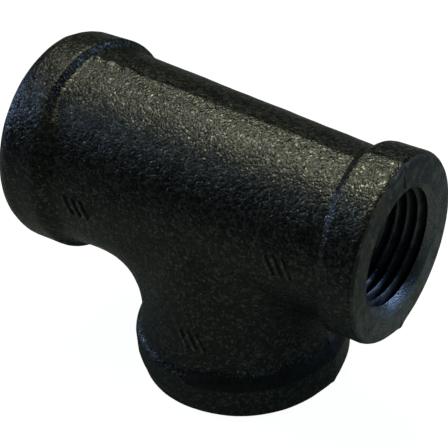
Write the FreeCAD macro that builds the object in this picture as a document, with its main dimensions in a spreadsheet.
import FreeCAD, Part
import math
import os
import Sketcher  # noqa: F401  (registers the sketch types)
from FreeCAD import Vector

# Reducing pipe tee, threaded, cast in one piece.
#
# Run along X: the large port at -X, the small port at +X.
# Branch along -Z: a second large port, whose end face carries the origin.
# The fitting therefore stands on its branch port, and Z points up from there.
#
# Every port is the same kind of thing: a reinforcing band, a machined end
# face, a 45 degree countersink, then the bore at tap-drill size, which opens
# into a cored chamber that is wider than the thread's major diameter.

doc = FreeCAD.newDocument("pipe_tee")

# ---------------------------------------------------------------- dimensions
sheet = doc.addObject("Spreadsheet::Sheet", "Dims")
ROWS = [
    # alias, value in mm (degrees where said), what it is
    ("large_run_end", 34.5, "crossing of the axes to the large run face"),
    ("small_run_end", 30.5, "crossing of the axes to the small run face"),
    ("branch_end", 32.8, "crossing of the axes to the branch face"),
    ("large_band_dia", 36.6, "outside diameter of the large bands"),
    ("small_band_dia", 30.4, "outside diameter of the small band"),
    ("large_band_len", 6.6, "full-diameter length of the large bands"),
    ("small_band_len", 5.8, "full-diameter length of the small band"),
    ("large_step_len", 0.7, "length of the shoulder behind a large band"),
    ("small_step_len", 1.4, "length of the shoulder behind the small band"),
    ("rim_break", 0.4, "broken edge round each end face"),
    ("body_large_dia", 34.0, "run body where it leaves the large band"),
    ("body_small_dia", 27.2, "run body where it meets the small band"),
    ("branch_body_dia", 34.0, "branch body where it meets its band"),
    ("branch_root_dia", 28.0, "branch body carried up to the run axis"),
    ("crotch_blend", 7.0, "blend radius between run and branch"),
    ("shoulder_round", 0.5, "rounding of the cast shoulders"),
    ("large_drill_dia", 23.42, "tap drill of the large ports"),
    ("small_drill_dia", 18.26, "tap drill of the small port"),
    ("large_sink_dia", 27.0, "mouth of the large countersinks"),
    ("small_sink_dia", 21.4, "mouth of the small countersink"),
    ("large_thread_len", 12.7, "wall at drill size in a large port"),
    ("small_thread_len", 10.9, "wall at drill size in the small port"),
    ("chamber_large_dia", 26.9, "cored chamber at the large ports"),
    ("chamber_small_dia", 22.4, "cored chamber at the small port"),
    ("chamber_root_dia", 22.6, "branch chamber carried up to the run axis"),
    ("over_cut", 1.0, "how far the cutting profiles run past a face"),
]
sheet.set("A1", "alias")
sheet.set("B1", "value")
sheet.set("C1", "meaning")
for i, (alias, value, meaning) in enumerate(ROWS):
    row = i + 2
    sheet.set("A%d" % row, alias)
    sheet.set("B%d" % row, str(value))
    sheet.set("C%d" % row, meaning)
    sheet.setAlias("B%d" % row, alias)
doc.recompute()


def dim(alias):
    return float(getattr(sheet, alias))


# --------------------------------------------------------------------- body
body = doc.addObject("PartDesign::Body", "tee_body")
body.Label = "tee_body"
body.setExpression("Placement.Base.z", "Dims.branch_end")
doc.recompute()


def plane(role):
    for feature in body.Origin.OriginFeatures:
        if feature.Role == role:
            return feature
    raise RuntimeError("no origin plane " + role)


def profile(name, corners):
    """A closed polygon on the XZ plane. Each corner is a pair of
    expressions over the sheet's cells, so the sketch follows the sheet."""
    sketch = body.newObject("Sketcher::SketchObject", name)
    sketch.AttachmentSupport = [(plane("XZ_Plane"), "")]
    sketch.MapMode = "FlatFace"
    cells = {alias: dim(alias) for alias, _, _ in ROWS}

    def number(text):
        total, sign = 0.0, 1.0
        for word in text.replace("-", " - ").replace("+", " + ").split():
            if word == "-":
                sign = -1.0
            elif word == "+":
                sign = 1.0
            else:
                factor = 1.0
                if "/" in word:
                    word, low = word.split("/")
                    factor = 1.0 / float(low)
                value = cells[word] if word in cells else float(word)
                total += sign * factor * value
                sign = 1.0
        return total

    def expression(text):
        words = []
        for word in text.replace("-", " - ").replace("+", " + ").split():
            base = word.split("/")[0]
            words.append("Dims." + word if base in cells else word)
        return " ".join(words)

    points = [Vector(number(u), number(v), 0) for u, v in corners]
    count = len(points)
    for k in range(count):
        sketch.addGeometry(
            Part.LineSegment(points[k], points[(k + 1) % count]), False)
    for k in range(count):
        sketch.addConstraint(
            Sketcher.Constraint("Coincident", k, 2, (k + 1) % count, 1))
    for k, (u, v) in enumerate(corners):
        for axis, text, value in (("X", u, points[k].x),
                                  ("Y", v, points[k].y)):
            index = sketch.addConstraint(
                Sketcher.Constraint("Distance" + axis, -1, 1, k, 1, value))
            label = "p%d%s" % (k, axis.lower())
            sketch.renameConstraint(index, label)
            sketch.setExpression("Constraints." + label, expression(text))
    doc.recompute()
    return sketch


def revolve(kind, name, sketch, axis):
    feature = body.newObject("PartDesign::" + kind, name)
    feature.Profile = sketch
    feature.ReferenceAxis = (sketch, [axis])
    feature.Angle = 360.0
    doc.recompute()
    return feature


# ------------------------------------------------------ outside of the casting
# The run: band, shoulder, tapering body, shoulder, band.
run_profile = profile("run_profile", [
    ("-large_run_end", "0"),
    ("-large_run_end", "large_band_dia/2 - rim_break"),
    ("-large_run_end + rim_break", "large_band_dia/2"),
    ("-large_run_end + large_band_len", "large_band_dia/2"),
    ("-large_run_end + large_band_len + large_step_len", "body_large_dia/2"),
    ("small_run_end - small_band_len - small_step_len", "body_small_dia/2"),
    ("small_run_end - small_band_len", "small_band_dia/2"),
    ("small_run_end - rim_break", "small_band_dia/2"),
    ("small_run_end", "small_band_dia/2 - rim_break"),
    ("small_run_end", "0"),
])
run_outside = revolve("Revolution", "run_outside", run_profile, "H_Axis")

# The branch: its body narrows upwards, so that it meets the flanks of the
# tapering run without standing out of them.
branch_profile = profile("branch_profile", [
    ("0", "-branch_end"),
    ("large_band_dia/2 - rim_break", "-branch_end"),
    ("large_band_dia/2", "-branch_end + rim_break"),
    ("large_band_dia/2", "-branch_end + large_band_len"),
    ("branch_body_dia/2", "-branch_end + large_band_len + large_step_len"),
    ("branch_root_dia/2", "0"),
    ("0", "0"),
])
branch_outside = revolve("Revolution", "branch_outside", branch_profile,
                         "V_Axis")


def edges_where(shape, test):
    """Names of the edges whose every sampled point passes the test, which
    is given the point in the body's own coordinates."""
    names = []
    lift = body.Placement.Base
    for index, edge in enumerate(shape.Edges):
        if edge.Length < 1e-6:
            continue
        first, last = edge.ParameterRange
        samples = [edge.valueAt(first + (last - first) * f / 8.0)
                   for f in range(9)]
        if all(test(s) for s in samples):
            names.append("Edge%d" % (index + 1))
    return names


# Radii of the two bodies along their axes, used to pick out the crotch.
RUN_A = -dim("large_run_end") + dim("large_band_len") + dim("large_step_len")
RUN_B = dim("small_run_end") - dim("small_band_len") - dim("small_step_len")
BRANCH_A = -dim("branch_end") + dim("large_band_len") + dim("large_step_len")


def run_radius(x):
    t = (x - RUN_A) / (RUN_B - RUN_A)
    return 0.5 * (dim("body_large_dia") * (1 - t) + dim("body_small_dia") * t)


def branch_radius(z):
    t = (z - BRANCH_A) / (0.0 - BRANCH_A)
    return 0.5 * (dim("branch_body_dia") * (1 - t)
                  + dim("branch_root_dia") * t)


def on_crotch(p):
    on_run = abs(math.hypot(p.y, p.z) - run_radius(p.x)) < 0.01
    on_branch = abs(math.hypot(p.x, p.y) - branch_radius(p.z)) < 0.01
    return on_run and on_branch


crotch = body.newObject("PartDesign::Fillet", "crotch")
crotch_edges = edges_where(branch_outside.Shape, on_crotch)
if not crotch_edges:
    raise RuntimeError("no crotch edge found")
crotch.Base = (branch_outside, crotch_edges)
crotch.setExpression("Radius", "Dims.crotch_blend")
doc.recompute()

# ------------------------------------------------------ inside of the casting
# The run's bore, as one turned profile: countersink, drill size, chamber,
# drill size, countersink.
run_bore_profile = profile("run_bore_profile", [
    ("-large_run_end - over_cut", "0"),
    ("-large_run_end - over_cut", "large_sink_dia/2 + over_cut"),
    ("-large_run_end + large_sink_dia/2 - large_drill_dia/2",
     "large_drill_dia/2"),
    ("-large_run_end + large_sink_dia/2 - large_drill_dia/2"
     " + large_thread_len", "large_drill_dia/2"),
    ("-large_run_end + large_sink_dia/2 - large_drill_dia"
     " + large_thread_len + chamber_large_dia/2", "chamber_large_dia/2"),
    ("small_run_end - small_sink_dia/2 + small_drill_dia"
     " - small_thread_len - chamber_small_dia/2", "chamber_small_dia/2"),
    ("small_run_end - small_sink_dia/2 + small_drill_dia/2"
     " - small_thread_len", "small_drill_dia/2"),
    ("small_run_end - small_sink_dia/2 + small_drill_dia/2",
     "small_drill_dia/2"),
    ("small_run_end + over_cut", "small_sink_dia/2 + over_cut"),
    ("small_run_end + over_cut", "0"),
])
before = crotch.Shape.Volume
run_bore = revolve("Groove", "run_bore", run_bore_profile, "H_Axis")
if not run_bore.Shape.Volume < before - 1000.0:
    raise RuntimeError("the run bore removed nothing")

branch_bore_profile = profile("branch_bore_profile", [
    ("0", "-branch_end - over_cut"),
    ("large_sink_dia/2 + over_cut", "-branch_end - over_cut"),
    ("large_drill_dia/2",
     "-branch_end + large_sink_dia/2 - large_drill_dia/2"),
    ("large_drill_dia/2",
     "-branch_end + large_sink_dia/2 - large_drill_dia/2"
     " + large_thread_len"),
    ("chamber_large_dia/2",
     "-branch_end + large_sink_dia/2 - large_drill_dia"
     " + large_thread_len + chamber_large_dia/2"),
    ("chamber_root_dia/2", "0"),
    ("0", "0"),
])
before = run_bore.Shape.Volume
branch_bore = revolve("Groove", "branch_bore", branch_bore_profile, "V_Axis")
if not branch_bore.Shape.Volume < before - 1000.0:
    raise RuntimeError("the branch bore removed nothing")

# The cast shoulders are rounded: the outer corner of each band and the inner
# corner where it meets the body.


def ring(p, axis_x, station, radius):
    along, r = ((p.x, math.hypot(p.y, p.z)) if axis_x
                else (p.z, math.hypot(p.x, p.y)))
    return abs(along - station) < 0.01 and abs(r - radius) < 0.01


shoulder_rings = [
    (True, -dim("large_run_end") + dim("large_band_len"),
     dim("large_band_dia") / 2),
    (True, RUN_A, dim("body_large_dia") / 2),
    (True, RUN_B, dim("body_small_dia") / 2),
    (True, dim("small_run_end") - dim("small_band_len"),
     dim("small_band_dia") / 2),
    (False, -dim("branch_end") + dim("large_band_len"),
     dim("large_band_dia") / 2),
    (False, BRANCH_A, dim("branch_body_dia") / 2),
]
names = []
for axis_x, station, radius in shoulder_rings:
    found = edges_where(branch_bore.Shape,
                        lambda p: ring(p, axis_x, station, radius))
    if not found:
        raise RuntimeError("no shoulder edge at %.2f" % station)
    names += found
shoulders = body.newObject("PartDesign::Fillet", "shoulders")
shoulders.Base = (branch_bore, names)
shoulders.setExpression("Radius", "Dims.shoulder_round")
body.Tip = shoulders
doc.recompute()

# -------------------------------------------------------------------- checks
for item in doc.Objects:
    if "Invalid" in item.State or "Error" in item.State:
        raise RuntimeError("%s is %s" % (item.Name, item.State))
SUB_PARTS = [body]
for item in SUB_PARTS:
    shape = item.Shape
    if shape.isNull() or not shape.isValid():
        raise RuntimeError(item.Label + " has no valid shape")
    if len(shape.Solids) != 1:
        raise RuntimeError("%s has %d solids" % (item.Label,
                                                 len(shape.Solids)))
    box = shape.BoundBox
    print("%s: volume %.1f mm3, faces %d, box %.2f %.2f %.2f to %.2f %.2f %.2f"
          % (item.Label, shape.Volume, len(shape.Faces), box.XMin, box.YMin,
             box.ZMin, box.XMax, box.YMax, box.ZMax))

os.makedirs("parts", exist_ok=True)
for item in SUB_PARTS:
    item.Shape.exportStep(os.path.join("parts", item.Label + ".step"))
